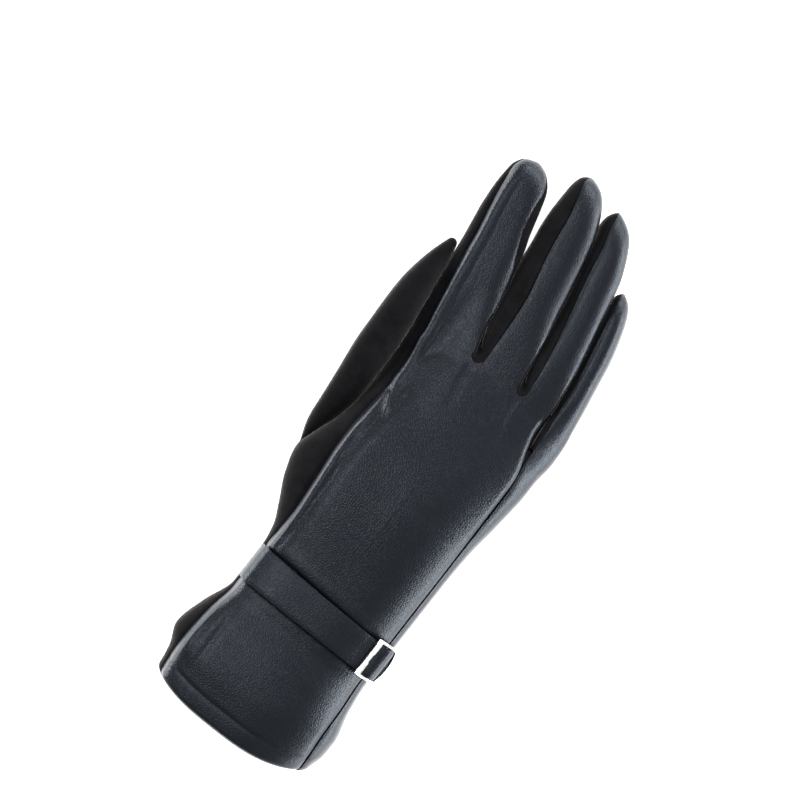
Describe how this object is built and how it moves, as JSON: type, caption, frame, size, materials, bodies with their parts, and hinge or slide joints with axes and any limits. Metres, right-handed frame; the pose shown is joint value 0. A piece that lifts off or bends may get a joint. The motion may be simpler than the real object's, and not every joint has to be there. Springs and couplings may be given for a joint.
{
  "type": "leather glove",
  "caption": "Right-hand dress glove lying palm down, with leather back, suede palm and finger walls, knit lining, a wrist strap and a metal slide buckle.",
  "frame": {"origin": "on the palm's resting plane, under the middle of the wrist strap", "axes": "+Y from the cuff to the fingertips, +X towards the little finger, +Z out of the back of the hand"},
  "size_m": [0.0915, 0.2621, 0.031],
  "materials": {
    "black_leather": "satin, fine grain",
    "black_suede": "matt, short nap",
    "dark_fleece": "matt knit",
    "polished_nickel": "polished"
  },
  "bodies": {
    "hand": {"back_panel": "black_leather", "side_panel": "black_leather", "ulnar_welt": "black_suede", "palm_panel": "black_suede", "crotch_gusset": "black_suede", "cuff_facing": "black_leather", "hand_lining": "dark_fleece", "wrist_strap": "black_leather"},
    "index": {"index_back": "black_leather", "index_palm": "black_suede", "index_wall_little_side": "black_suede", "index_lining": "dark_fleece"},
    "middle": {"middle_back": "black_leather", "middle_palm": "black_suede", "middle_wall_thumb_side": "black_suede", "middle_wall_little_side": "black_suede", "middle_lining": "dark_fleece"},
    "ring": {"ring_back": "black_leather", "ring_palm": "black_suede", "ring_wall_thumb_side": "black_suede", "ring_wall_little_side": "black_suede", "ring_lining": "dark_fleece"},
    "little": {"little_back": "black_leather", "little_palm": "black_suede", "little_wall_thumb_side": "black_suede", "little_lining": "dark_fleece"},
    "thumb": {"thumb_top": "black_suede", "thumb_under": "black_suede", "thumb_lining": "dark_fleece"},
    "buckle": {"buckle_frame": "polished_nickel"}
  },
  "joints": [
    {"name": "index_lift", "type": "hinge", "parent": "hand", "child": "index", "pos_m": [-0.0271, 0.1164, 0.0186], "axis": [0.9848, 0.1736, 0], "range_deg": [0, 40]},
    {"name": "middle_lift", "type": "hinge", "parent": "hand", "child": "middle", "pos_m": [-0.0021, 0.1198, 0.0188], "axis": [0.9763, 0.2164, 0], "range_deg": [0, 40]},
    {"name": "ring_lift", "type": "hinge", "parent": "hand", "child": "ring", "pos_m": [0.0173, 0.1198, 0.0186], "axis": [0.9703, 0.2419, 0], "range_deg": [0, 40]},
    {"name": "little_lift", "type": "hinge", "parent": "hand", "child": "little", "pos_m": [0.0316, 0.1045, 0.0171], "axis": [0.9833, 0.1822, 0], "range_deg": [0, 40]},
    {"name": "thumb_swing", "type": "hinge", "parent": "hand", "child": "thumb", "pos_m": [-0.0468, 0.048, 0.009], "axis": [0, 0, 1], "range_deg": [0, 25]},
    {"name": "buckle_rock", "type": "hinge", "parent": "hand", "child": "buckle", "pos_m": [0.02986, 0, 0.022], "axis": [0, 1, 0], "range_deg": [-6, 6]}
  ]
}
